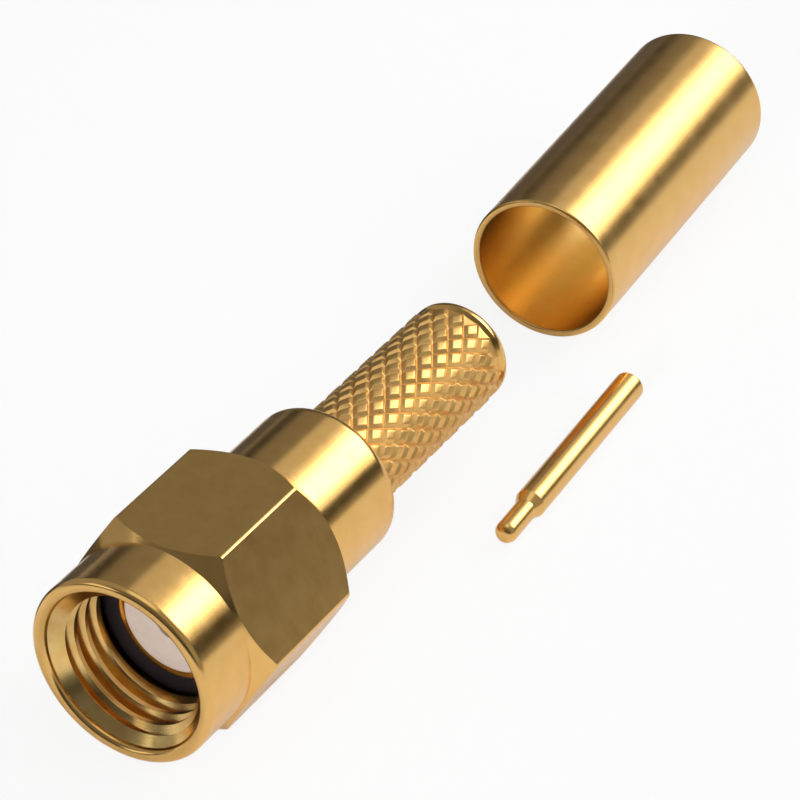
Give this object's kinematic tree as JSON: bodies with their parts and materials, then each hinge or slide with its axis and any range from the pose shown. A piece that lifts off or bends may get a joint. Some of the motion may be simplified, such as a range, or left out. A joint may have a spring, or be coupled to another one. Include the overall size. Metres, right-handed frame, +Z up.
{
  "type": "sma connector",
  "caption": "Coaxial cable plug with a hexagonal screw coupling and a knurled crimp stem, laid out with its loose crimp ferrule and centre contact.",
  "frame": {"origin": "middle of the hexagon's flat that the coupling nut rests on", "axes": "+Z up, the plug's axis along Y with its mating end towards -Y, +X to the right seen from the mating end"},
  "size_m": [0.0108, 0.0471, 0.008],
  "materials": {
    "gold_plate": "polished gold plating over brass",
    "gasket_rubber": "matt black rubber",
    "insulator_ptfe": "waxy off-white fluoropolymer"
  },
  "bodies": {
    "plug": {"plug_body": "gold_plate", "retaining_ring": "gold_plate", "gasket": "gasket_rubber", "insulator": "insulator_ptfe", "centre_contact": "gold_plate", "crimp_ferrule": "gold_plate"},
    "nut": {"coupling_nut": "gold_plate"}
  },
  "joints": [
    {"name": "nut_spin", "type": "hinge", "parent": "plug", "child": "nut", "pos_m": [0, 0, 0.004], "axis": [0, 1, 0], "continuous": true}
  ]
}
